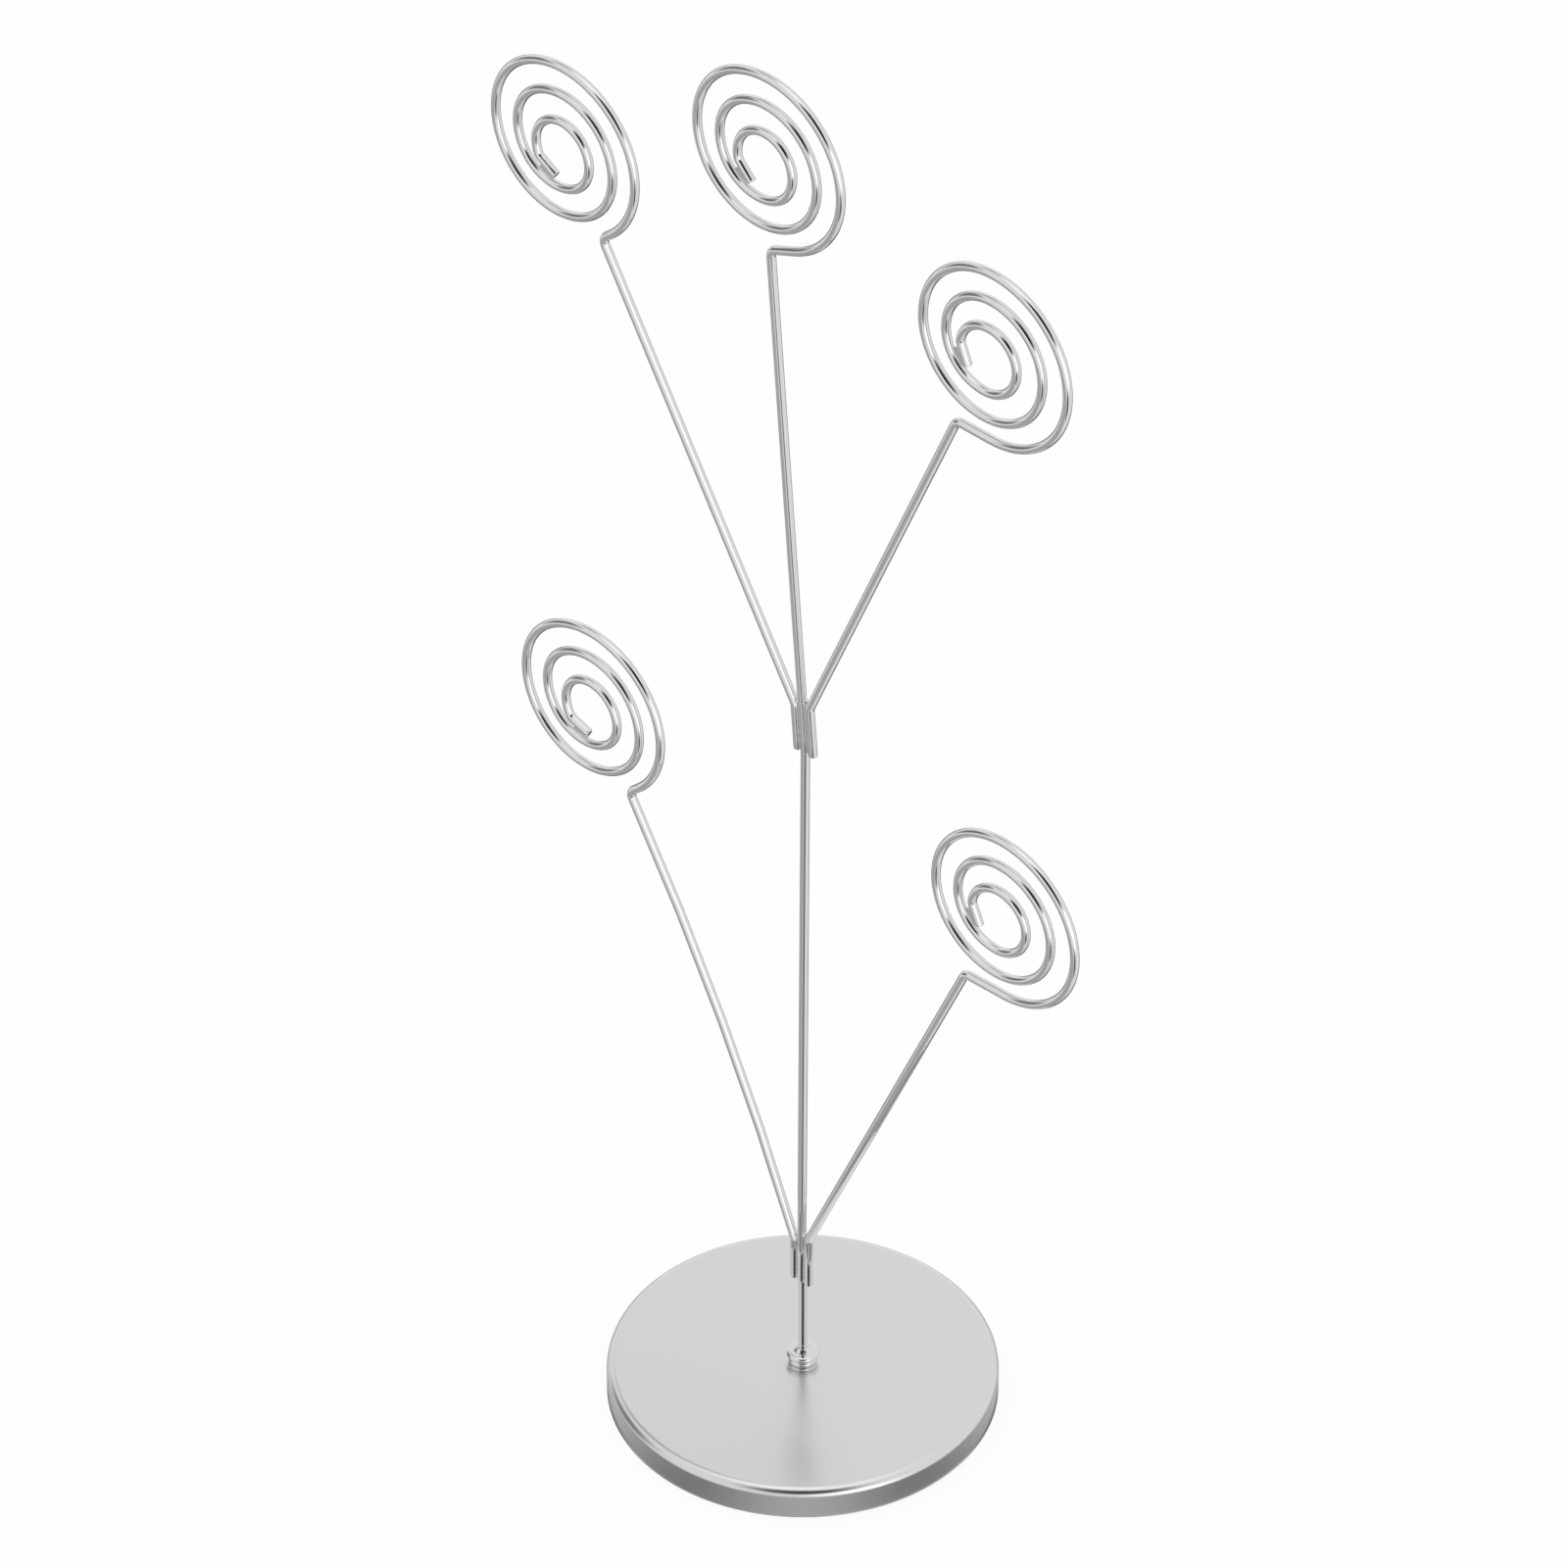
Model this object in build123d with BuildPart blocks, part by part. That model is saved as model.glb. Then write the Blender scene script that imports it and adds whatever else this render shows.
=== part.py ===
from build123d import *
from math import cos, radians, sin, sqrt, tan
import os

# Photo tree stand. Five bright wire spirals hold photographs above a round weighted base.
# Lengths are in millimetres. The origin is the middle of the base on the table, +Z is up,
# +X is to the right and -Y is the front. Every wire is bent flat, parallel to the XZ plane.

# Base: a drawn cover over a steel weight, with a soft pad under it
base_diameter = 80.0
base_height = 7.6
cover_wall = 0.8
cover_edge_radius = 1.9
skirt_lift = 0.5
skirt_bevel = 0.2
pad_thickness = 1.2
pad_side_gap = 0.7
weight_side_gap = 0.15
weight_web = 2.5
weight_edge_chamfer = 1.3

# Collar: the turned boss that carries the tree and turns in the base
collar_diameter = 6.7
collar_height = 2.75
collar_disc_height = 1.1
collar_groove_height = 0.15
collar_groove_depth = 0.35
collar_foot_step = 0.15
collar_disc_round = 0.45
collar_foot_round = 0.3
spigot_diameter = 4.6
spigot_relief = 0.15
spigot_clearance = 0.06

# Fixing screw with its washers, in the counterbore under the weight
screw_diameter = 3.0
screw_length = 5.0
screw_head_diameter = 5.5
screw_head_height = 1.8
screw_head_round = 0.6
screw_end_chamfer = 0.3
recess_width = 0.8
recess_span = 3.0
recess_depth = 1.0
thread_clearance = 0.02
washer_diameter = 7.0
washer_thickness = 0.5
spring_washer_diameter = 6.2
spring_washer_thickness = 0.7
spring_washer_slit = 0.6
washer_clearance = 0.1
counterbore_side_gap = 0.4

# Wire, and the way in which the wires are lapped and brazed
wire_diameter = 1.83
wire_end_round = 0.25
lap_film = 0.12
lap_length = 10.0
socket_clearance = 0.03
socket_end_gap = 0.2
bend_radius = 2.0
foot_braze_width = 1.0
foot_braze_height = 0.8
braze_bead = 0.35
braze_end_gap = 0.5
crotch_rise = 2.2
crotch_blob_diameter = 1.5
crotch_blob_drop = 1.3

# Heights of the two forks, measured to the flush lower ends of the branch wires
lower_fork_height = 31.0
upper_fork_height = 169.1
upper_stem_lean = 0.3
lower_tier_lean = 0.0
upper_tier_lean = -4.6

# Where the middle wire of a fork stands, right of the stem behind it, in laps
lower_row_share = 0.69
upper_row_share = 0.96

# Branches: the leg is brazed to the stem, the arm carries the spiral clip
leg_length = 10.0
arm_length = 100.0
lead_length = 10.0
clip_names = [
    "lower_left_clip",
    "lower_right_clip",
    "upper_left_clip",
    "upper_middle_clip",
    "upper_right_clip",
]
fork_of_clip = ["lower", "lower", "upper", "upper", "upper"]
row_places = [-1, 1, -1, 0, 1]
leg_length_shares = [1.01, 1.19, 1.055, 1.085, 1.12]
arm_length_shares = [1.012, 1.011, 0.991, 1.036, 0.945]
arm_angles = [-26.3, 24.0, -30.5, -4.6, 23.0]
arm_bows = [-10.9, 1.2, 2.1, 0.0, 0.9]
lead_length_shares = [0.37, 1.0, 0.19, 0.70, 0.85]
form_turns = [16.5, 25.5, 6.7, 18.2, 22.4]

# Spiral: quarter turns that wind inwards, then a straight tip laid beside the turn outside it
spiral_radius = 18.3
quarter_turn = 90.0
turn_radius_shares = [1.0, 1.029, 0.927, 0.863, 0.754, 0.704, 0.602, 0.539, 0.422, 0.375, 0.391]
first_turn_shares = [0.93, 1.0, 0.93, 1.0, 1.0]
last_turn_shares = [0.94, 0.86, 0.90, 0.84, 0.86]
tip_bend_angles = [40.0, 36.0, 38.0, 35.0, 36.0]
tip_length = 4.5
tip_braze_length = 3.8
tip_braze_width = 2.5
tip_braze_spread = 3.3
tip_braze_thickness = 1.0

# Points along each spiral's wire at which its gap to itself is measured
gap_steps = 700

# Worked out from the sizes above
base_radius = base_diameter / 2
wire_radius = wire_diameter / 2
lap_pitch = wire_diameter + lap_film
weight_bottom = pad_thickness
weight_top = base_height - cover_wall
weight_radius = base_radius - cover_wall - weight_side_gap
counterbore_top = weight_top - weight_web
counterbore_radius = washer_diameter / 2 + counterbore_side_gap
washer_bottom = counterbore_top - washer_thickness
spring_washer_bottom = washer_bottom - spring_washer_thickness
spigot_radius = spigot_diameter / 2
spigot_bore_radius = spigot_radius + spigot_clearance
spigot_bottom = counterbore_top + spigot_relief
collar_top = base_height + collar_height
screw_radius = screw_diameter / 2
screw_top = spring_washer_bottom + screw_length
thread_bore_radius = screw_radius + thread_clearance
stem_foot = screw_top + socket_end_gap
lower_stem_top = lower_fork_height + lap_length
upper_stem_top = upper_fork_height + lap_length


def row_depth(row_share):
    """How far a fork's row of wires lies in front of the stem that its left leg touches."""
    return lap_pitch * sqrt(1 - (1 - row_share) ** 2)


lower_row_y = -row_depth(lower_row_share)
upper_row_y = lower_row_y - row_depth(upper_row_share)
upper_stem_x = lap_pitch * lower_row_share
upper_stem_lap_x = upper_stem_x + (upper_fork_height - lower_fork_height) * tan(radians(upper_stem_lean))

# Each fork: the stem's place, the place of the middle wire, its height and the lean of its legs
forks = {
    "lower": {
        "stem": (0, 0),
        "middle": (lap_pitch * lower_row_share, lower_row_y),
        "height": lower_fork_height,
        "lean": lower_tier_lean,
    },
    "upper": {
        "stem": (upper_stem_lap_x, lower_row_y),
        "middle": (upper_stem_lap_x + lap_pitch * upper_row_share, upper_row_y),
        "height": upper_fork_height,
        "lean": upper_tier_lean,
    },
}

os.makedirs("parts", exist_ok=True)


# Base pad: the soft disc that the stand rests on
with BuildPart() as base_pad:
    with BuildSketch(Plane.XY):
        Circle(base_radius - cover_wall - pad_side_gap)
    extrude(amount=pad_thickness)
base_pad.part.label = "base_pad"
export_step(base_pad.part, "parts/base_pad.step")


# Base weight: a turned steel disc with the screw's counterbore in its underside
with BuildPart() as base_weight:
    with BuildSketch(Plane.XY.offset(weight_bottom)):
        Circle(weight_radius)
    extrude(amount=weight_top - weight_bottom)
    chamfer(base_weight.faces().sort_by(Axis.Z)[-1].edges(), weight_edge_chamfer)
    with BuildSketch(Plane.XY.offset(weight_bottom)):
        Circle(counterbore_radius)
    extrude(amount=counterbore_top - weight_bottom, mode=Mode.SUBTRACT)
    with BuildSketch(Plane.XY.offset(counterbore_top)):
        Circle(spigot_bore_radius)
    extrude(amount=weight_web, mode=Mode.SUBTRACT)
base_weight.part.label = "base_weight"
export_step(base_weight.part, "parts/base_weight.step")


# Base cover: the bright drawn shell, open below, with the collar's hole in its top
with BuildPart() as base_cover:
    with BuildSketch(Plane.XY.offset(skirt_lift)):
        Circle(base_radius)
    extrude(amount=base_height - skirt_lift)
    fillet(base_cover.faces().sort_by(Axis.Z)[-1].edges(), cover_edge_radius)
    chamfer(base_cover.faces().sort_by(Axis.Z)[0].edges(), skirt_bevel)
    with BuildSketch(Plane.XY.offset(skirt_lift)):
        Circle(base_radius - cover_wall)
    extrude(amount=weight_top - skirt_lift, mode=Mode.SUBTRACT)
    inner_edges = base_cover.faces(Select.LAST).sort_by(Axis.Z)[-1].edges()
    fillet(inner_edges, cover_edge_radius - cover_wall)
    with BuildSketch(Plane.XY.offset(weight_top)):
        Circle(spigot_bore_radius)
    extrude(amount=cover_wall, mode=Mode.SUBTRACT)
base_cover.part.label = "base_cover"
export_step(base_cover.part, "parts/base_cover.step")


# Flat washer: bears on the weight inside the counterbore
with BuildPart() as flat_washer:
    with BuildSketch(Plane.XY.offset(washer_bottom)):
        Circle(washer_diameter / 2)
        Circle(screw_radius + washer_clearance, mode=Mode.SUBTRACT)
    extrude(amount=washer_thickness)
flat_washer.part.label = "flat_washer"
export_step(flat_washer.part, "parts/flat_washer.step")


# Spring washer: the split ring between the flat washer and the screw head
with BuildPart() as spring_washer:
    with BuildSketch(Plane.XY.offset(spring_washer_bottom)):
        Circle(spring_washer_diameter / 2)
        Circle(screw_radius + washer_clearance, mode=Mode.SUBTRACT)
        with Locations((spring_washer_diameter / 2, 0)):
            Rectangle(spring_washer_diameter, spring_washer_slit, mode=Mode.SUBTRACT)
    extrude(amount=spring_washer_thickness)
spring_washer.part.label = "spring_washer"
export_step(spring_washer.part, "parts/spring_washer.step")


# Fixing screw: comes up through the weight into the collar and holds the tree down
with BuildPart() as fixing_screw:
    with BuildSketch(Plane.XY.offset(spring_washer_bottom - screw_head_height)):
        Circle(screw_head_diameter / 2)
    extrude(amount=screw_head_height)
    fillet(fixing_screw.faces().sort_by(Axis.Z)[0].edges(), screw_head_round)
    with BuildSketch(Plane.XY.offset(spring_washer_bottom)):
        Circle(screw_radius)
    extrude(amount=screw_length)
    chamfer(fixing_screw.faces().sort_by(Axis.Z)[-1].edges(), screw_end_chamfer)
    with BuildSketch(Plane.XY.offset(spring_washer_bottom - screw_head_height)):
        Rectangle(recess_span, recess_width)
        Rectangle(recess_width, recess_span)
    extrude(amount=recess_depth, mode=Mode.SUBTRACT)
fixing_screw.part.label = "fixing_screw"
export_step(fixing_screw.part, "parts/fixing_screw.step")


# Stem collar: disc and foot with a groove between them, spigot below, bored from both ends
collar_radius = collar_diameter / 2
disc_bottom = collar_top - collar_disc_height
foot_top = disc_bottom - collar_groove_height
with BuildPart() as stem_collar:
    with BuildSketch(Plane.XY.offset(base_height)):
        Circle(collar_radius - collar_foot_step)
    extrude(amount=foot_top - base_height)
    fillet(stem_collar.faces().sort_by(Axis.Z)[-1].edges(), collar_foot_round)
    with BuildSketch(Plane.XY.offset(spigot_bottom)):
        Circle(spigot_radius)
    extrude(amount=base_height - spigot_bottom)
    with BuildSketch(Plane.XY.offset(base_height)):
        Circle(collar_radius - collar_groove_depth)
    extrude(amount=disc_bottom - base_height)
    with BuildSketch(Plane.XY.offset(disc_bottom)):
        Circle(collar_radius)
    extrude(amount=collar_disc_height)
    fillet(stem_collar.faces().sort_by(Axis.Z)[-1].edges(), collar_disc_round)
    with BuildSketch(Plane.XY.offset(spigot_bottom)):
        Circle(thread_bore_radius)
    extrude(amount=stem_foot - spigot_bottom, mode=Mode.SUBTRACT)
    with BuildSketch(Plane.XY.offset(stem_foot)):
        Circle(wire_radius + socket_clearance)
    extrude(amount=collar_top - stem_foot, mode=Mode.SUBTRACT)
stem_collar.part.label = "stem_collar"
export_step(stem_collar.part, "parts/stem_collar.step")


# Foot braze: the ring of filler round the stem on top of the collar
with BuildPart() as foot_braze:
    with BuildSketch(Plane.XY.offset(collar_top)):
        Circle(wire_radius + foot_braze_width)
    with BuildSketch(Plane.XY.offset(collar_top + foot_braze_height)):
        Circle(wire_radius + foot_braze_width / 4)
    loft()
    with BuildSketch(Plane.XY.offset(collar_top)):
        Circle(wire_radius)
    extrude(amount=foot_braze_height, mode=Mode.SUBTRACT)
foot_braze.part.label = "foot_braze"
export_step(foot_braze.part, "parts/foot_braze.step")


def bent_path(start, heading, moves):
    """Lines and arcs of a flat bent wire, from moves that are a run's length and None,
    or a turn's radius and its angle, positive to the left.
    """
    x, z = start
    for length, angle in moves:
        if angle is None:
            end = (x + length * cos(radians(heading)), z + length * sin(radians(heading)))
            Line((x, z), end)
            x, z = end
            continue
        side = 1 if angle > 0 else -1
        middle_x = x - side * length * sin(radians(heading))
        middle_z = z + side * length * cos(radians(heading))
        CenterArc((middle_x, middle_z), length, heading - side * quarter_turn, angle)
        heading += angle
        x = middle_x + side * length * sin(radians(heading))
        z = middle_z - side * length * cos(radians(heading))


def bend_run(angle):
    """Length that a bend takes from the straight run on each side of it."""
    return bend_radius * tan(radians(abs(angle)) / 2)


def clip_moves(number):
    """Runs and turns of one branch wire from its brazed end to the tip of its spiral."""
    leg = leg_length * leg_length_shares[number]
    arm = arm_length * arm_length_shares[number]
    lead = lead_length * lead_length_shares[number]
    bow = arm_bows[number]
    fork_bend = arm_angles[number] - forks[fork_of_clip[number]]["lean"] - bow / 2
    clip_bend = quarter_turn - form_turns[number] - bow / 2
    moves = []
    if row_places[number] == 0:
        run = leg + arm - bend_run(clip_bend)
    else:
        run = arm - bend_run(fork_bend) - bend_run(clip_bend)
        moves.append((leg - bend_run(fork_bend), None))
        moves.append((bend_radius, -fork_bend))
    moves.append((run / radians(abs(bow)), -bow) if bow else (run, None))
    moves.append((bend_radius, -clip_bend))
    if lead > bend_run(clip_bend):
        moves.append((lead - bend_run(clip_bend), None))
    for share in turn_radius_shares:
        moves.append([spiral_radius * share, quarter_turn])
    first_turn = len(moves) - len(turn_radius_shares)
    moves[first_turn][1] *= first_turn_shares[number]
    moves[-1][1] *= last_turn_shares[number]
    moves.append((bend_radius, tip_bend_angles[number]))
    moves.append((tip_length, None))
    return moves


def least_gap(wire, steps):
    """Least clear space between parts of one bent wire that lie more than two turns of it apart."""
    points = [wire @ (step / steps) for step in range(steps + 1)]
    apart = round(steps * spiral_radius / wire.length)
    pairs = [(a, b) for k, a in enumerate(points) for b in points[k + apart :]]
    return min((b - a).length for a, b in pairs) - wire_diameter


# Branch wires: each is one wire with a leg, an arm and a spiral clip
clips = {}
tips = {}
for number, clip_name in enumerate(clip_names):
    fork = forks[fork_of_clip[number]]
    clip_x = fork["middle"][0] + lap_pitch * row_places[number]
    clip_heading = quarter_turn - fork["lean"]
    with BuildPart() as clip:
        with BuildLine(Plane.XZ.offset(-fork["middle"][1])) as clip_line:
            bent_path((clip_x, fork["height"]), clip_heading, clip_moves(number))
        clip_wire = clip_line.wire()
        with BuildSketch(Plane(origin=clip_wire @ 0, z_dir=clip_wire % 0)):
            Circle(wire_radius)
        sweep(path=clip_wire)
        fillet(clip.faces().filter_by(GeomType.PLANE).edges(), wire_end_round)
    clip.part.label = clip_name
    export_step(clip.part, f"parts/{clip_name}.step")
    clips[clip_name] = clip.part
    tips[clip_name] = Plane(origin=clip_wire @ 1, x_dir=-(clip_wire % 1), z_dir=(0, -1, 0))
    print(clip_name, "wire length", round(clip_wire.length, 1))
    print(clip_name, "least gap to itself", round(least_gap(clip_wire, gap_steps), 2))


# Tip brazes: the filler in the wedge between each spiral's tip and the turn outside it
for clip_name in clip_names:
    braze_name = clip_name.replace("_clip", "_tip_braze")
    with BuildPart() as tip_braze:
        with BuildSketch(tips[clip_name]):
            with BuildLine():
                Polyline(
                    (0, 0),
                    (tip_braze_length, 0),
                    (tip_braze_length, tip_braze_spread),
                    (0, tip_braze_width),
                    close=True,
                )
            make_face()
        extrude(amount=tip_braze_thickness / 2, both=True)
        add(clips[clip_name], mode=Mode.SUBTRACT)
    tip_braze.part.label = braze_name
    export_step(tip_braze.part, f"parts/{braze_name}.step")


# Lower stem: the straight wire from the collar to the lower fork
with BuildPart() as lower_stem:
    with BuildSketch(Plane.XY.offset(stem_foot)):
        Circle(wire_radius)
    extrude(amount=lower_stem_top - stem_foot)
    fillet(lower_stem.faces().filter_by(GeomType.PLANE).edges(), wire_end_round)
lower_stem.part.label = "lower_stem"
export_step(lower_stem.part, "parts/lower_stem.step")


# Upper stem: stands in the lower fork's row and leans a little to the right
upper_stem_run = (upper_stem_top - lower_fork_height) / cos(radians(upper_stem_lean))
with BuildPart() as upper_stem:
    with BuildLine(Plane.XZ.offset(-lower_row_y)) as upper_stem_line:
        upper_stem_foot = (upper_stem_x, lower_fork_height)
        bent_path(upper_stem_foot, quarter_turn - upper_stem_lean, [(upper_stem_run, None)])
    with BuildSketch(Plane(origin=upper_stem_line.line @ 0, z_dir=upper_stem_line.line % 0)):
        Circle(wire_radius)
    sweep(path=upper_stem_line.line)
    fillet(upper_stem.faces().filter_by(GeomType.PLANE).edges(), wire_end_round)
upper_stem.part.label = "upper_stem"
export_step(upper_stem.part, "parts/upper_stem.step")


def fork_filler(fork, left_leg, right_leg, wires):
    """Braze of one fork: a core between stem and row, a web along the row and two crotch blobs."""
    stem_x, stem_y = fork["stem"]
    middle_x, row_y = fork["middle"]
    web_reach = lap_pitch - wire_radius / 2
    web_left_x = middle_x - web_reach
    web_right_x = middle_x + web_reach
    low = fork["height"] + braze_end_gap
    lean_slope = tan(radians(fork["lean"]))
    left_top = fork["height"] + left_leg + crotch_rise
    right_top = fork["height"] + right_leg + crotch_rise
    core_top = fork["height"] + lap_length - braze_end_gap
    left_crotch_x = middle_x - lap_pitch / 2 + (left_top - fork["height"]) * lean_slope
    right_crotch_x = middle_x + lap_pitch / 2 + (right_top - fork["height"]) * lean_slope
    with BuildPart() as filler:
        with BuildSketch(Plane.XY.offset(low)):
            with BuildLine():
                left_leg_at = (middle_x - lap_pitch, row_y)
                Polyline((stem_x, stem_y), left_leg_at, (middle_x, row_y), close=True)
            make_face()
            offset(amount=braze_bead)
        extrude(amount=core_top - low)
        with BuildSketch(Plane.XZ.offset(-row_y)):
            with BuildLine():
                Polyline(
                    (web_left_x, low),
                    (web_right_x, low),
                    (web_right_x + (right_top - low) * lean_slope, right_top - crotch_rise),
                    (right_crotch_x, right_top),
                    (left_crotch_x, left_top),
                    (web_left_x + (left_top - low) * lean_slope, left_top - crotch_rise),
                    close=True,
                )
            make_face()
        extrude(amount=braze_bead, both=True)
        with Locations((left_crotch_x, row_y, left_top - crotch_blob_drop)):
            Sphere(crotch_blob_diameter / 2)
        with Locations((right_crotch_x, row_y, right_top - crotch_blob_drop)):
            Sphere(crotch_blob_diameter / 2)
        for wire in wires:
            add(wire, mode=Mode.SUBTRACT)
    return filler


# Lower fork braze: joins the two lower branches and the upper stem to the lower stem
lower_fork_braze = fork_filler(
    forks["lower"],
    leg_length * leg_length_shares[0],
    leg_length * leg_length_shares[1],
    [lower_stem.part, upper_stem.part, clips["lower_left_clip"], clips["lower_right_clip"]],
)
lower_fork_braze.part.label = "lower_fork_braze"
export_step(lower_fork_braze.part, "parts/lower_fork_braze.step")


# Upper fork braze: joins the three upper branches to the upper stem
upper_fork_braze = fork_filler(
    forks["upper"],
    leg_length * leg_length_shares[2],
    leg_length * leg_length_shares[4],
    [upper_stem.part] + [clips[name] for name in clip_names if name.startswith("upper")],
)
upper_fork_braze.part.label = "upper_fork_braze"
export_step(upper_fork_braze.part, "parts/upper_fork_braze.step")
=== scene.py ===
import math

import bmesh
import bpy
from mathutils import Matrix, Vector


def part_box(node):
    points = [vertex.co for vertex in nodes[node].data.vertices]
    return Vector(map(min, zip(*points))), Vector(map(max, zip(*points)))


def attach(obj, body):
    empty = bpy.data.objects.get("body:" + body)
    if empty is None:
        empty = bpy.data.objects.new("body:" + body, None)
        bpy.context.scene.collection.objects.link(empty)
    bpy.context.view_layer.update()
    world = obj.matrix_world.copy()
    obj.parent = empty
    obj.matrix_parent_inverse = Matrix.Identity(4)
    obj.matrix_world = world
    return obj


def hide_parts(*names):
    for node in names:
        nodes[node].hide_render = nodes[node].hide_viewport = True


# Photo tree stand: bright bent wires on a round weighted base. Metres, in the CAD's own frame.

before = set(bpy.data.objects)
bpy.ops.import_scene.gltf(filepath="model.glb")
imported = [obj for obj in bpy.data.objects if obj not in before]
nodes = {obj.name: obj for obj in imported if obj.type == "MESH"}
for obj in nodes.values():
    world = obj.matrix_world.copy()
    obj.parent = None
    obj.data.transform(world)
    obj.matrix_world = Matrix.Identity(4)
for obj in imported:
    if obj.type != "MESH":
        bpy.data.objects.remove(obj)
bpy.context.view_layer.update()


# Bent wires: seven pieces of bright plated steel wire, two straight stems and five clips.
# Each clip is one wire: a leg in a fork, a long arm, and a flat spiral wound inwards.
# They were bent on a jig by hand, so every arm, lead and tip differs a little.
WIRE_DIAMETER = 0.00183
WIRE_END_ROUND = 0.00025
LAP_PITCH = 0.00195
BEND_RADIUS = 0.002
LOWER_FORK_HEIGHT = 0.031
UPPER_FORK_HEIGHT = 0.1691
LOWER_ROW_SHARE = 0.69
UPPER_ROW_SHARE = 0.96
UPPER_STEM_LEAN = 0.3
LOWER_TIER_LEAN = 0.0
UPPER_TIER_LEAN = -4.6
LEG_LENGTH = 0.01
ARM_LENGTH = 0.1
LEAD_LENGTH = 0.01
SPIRAL_RADIUS = 0.0183
QUARTER_TURN = 90.0
TURN_SHARES = [1.0, 1.029, 0.927, 0.863, 0.754, 0.704, 0.602, 0.539, 0.422, 0.375, 0.391]
TIP_LENGTH = 0.0045
ARC_STEP = 3.0
RUN_STEP = 0.003
WIRE_SIDES = 40
END_STEPS = 5
SMOOTHEST_PATCH = 0.7
ROUGHEST_PATCH = 1.5

upper_stem_x = LAP_PITCH * LOWER_ROW_SHARE
upper_stem_rise = UPPER_FORK_HEIGHT - LOWER_FORK_HEIGHT
upper_stem_lap_x = upper_stem_x + upper_stem_rise * math.tan(math.radians(UPPER_STEM_LEAN))
LOWER_FORK = {"x": upper_stem_x, "z": LOWER_FORK_HEIGHT, "lean": LOWER_TIER_LEAN}
UPPER_FORK = {
    "x": upper_stem_lap_x + LAP_PITCH * UPPER_ROW_SHARE,
    "z": UPPER_FORK_HEIGHT,
    "lean": UPPER_TIER_LEAN,
}

# Leg, arm and lead are shares of the lengths above, and the first and last turn are shares of a
# quarter turn. The rest are degrees: angle leans the arm right of upright, and bow curves it.
CLIPS = {
    "lower_left_clip": {
        "fork": LOWER_FORK, "place": -1, "leg": 1.01, "arm": 1.012, "angle": -26.3, "bow": -10.9,
        "lead": 0.37, "form_turn": 16.5, "first_turn": 0.93, "last_turn": 0.94, "tip_bend": 40.0,
    },
    "lower_right_clip": {
        "fork": LOWER_FORK, "place": 1, "leg": 1.19, "arm": 1.011, "angle": 24.0, "bow": 1.2,
        "lead": 1.0, "form_turn": 25.5, "first_turn": 1.0, "last_turn": 0.86, "tip_bend": 36.0,
    },
    "upper_left_clip": {
        "fork": UPPER_FORK, "place": -1, "leg": 1.055, "arm": 0.991, "angle": -30.5, "bow": 2.1,
        "lead": 0.19, "form_turn": 6.7, "first_turn": 0.93, "last_turn": 0.90, "tip_bend": 38.0,
    },
    "upper_middle_clip": {
        "fork": UPPER_FORK, "place": 0, "leg": 1.085, "arm": 1.036, "angle": -4.6, "bow": 0.0,
        "lead": 0.70, "form_turn": 18.2, "first_turn": 1.0, "last_turn": 0.84, "tip_bend": 35.0,
    },
    "upper_right_clip": {
        "fork": UPPER_FORK, "place": 1, "leg": 1.12, "arm": 0.945, "angle": 23.0, "bow": 0.9,
        "lead": 0.85, "form_turn": 22.4, "first_turn": 1.0, "last_turn": 0.86, "tip_bend": 36.0,
    },
}


def bend_run(angle):
    """Length that a bend takes from the straight run on each side of it."""
    return BEND_RADIUS * math.tan(math.radians(abs(angle)) / 2)


def clip_moves(clip):
    """Runs (length, None) and turns (radius, angle to the left) of one clip wire."""
    leg = LEG_LENGTH * clip["leg"]
    arm = ARM_LENGTH * clip["arm"]
    lead = LEAD_LENGTH * clip["lead"]
    bow = clip["bow"]
    fork_bend = clip["angle"] - clip["fork"]["lean"] - bow / 2
    clip_bend = QUARTER_TURN - clip["form_turn"] - bow / 2
    moves = []
    if clip["place"] == 0:
        run = leg + arm - bend_run(clip_bend)
    else:
        run = arm - bend_run(fork_bend) - bend_run(clip_bend)
        moves.append((leg - bend_run(fork_bend), None))
        moves.append((BEND_RADIUS, -fork_bend))
    moves.append((run / math.radians(abs(bow)), -bow) if bow else (run, None))
    moves.append((BEND_RADIUS, -clip_bend))
    if lead > bend_run(clip_bend):
        moves.append((lead - bend_run(clip_bend), None))
    turns = [QUARTER_TURN] * len(TURN_SHARES)
    turns[0] *= clip["first_turn"]
    turns[-1] *= clip["last_turn"]
    moves += [(SPIRAL_RADIUS * share, turn) for share, turn in zip(TURN_SHARES, turns)]
    moves.append((BEND_RADIUS, clip["tip_bend"]))
    moves.append((TIP_LENGTH, None))
    return moves


def wire_points(start, heading, moves):
    """Points along a flat bent wire in its own XZ plane."""
    points = [start]
    for length, angle in moves:
        direction = Vector((math.cos(math.radians(heading)), math.sin(math.radians(heading))))
        steps = math.ceil(length / RUN_STEP) if angle is None else math.ceil(abs(angle) / ARC_STEP)
        first = points[-1]
        for step in range(1, steps + 1):
            if angle is None:
                points.append(first + direction * length * step / steps)
                continue
            turned = math.radians(angle * step / steps)
            side = math.copysign(length, angle)
            left = Vector((-direction.y, direction.x))
            along = direction * side * math.sin(turned)
            points.append(first + along + left * side * (1 - math.cos(turned)))
        heading += angle or 0
    return points


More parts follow.
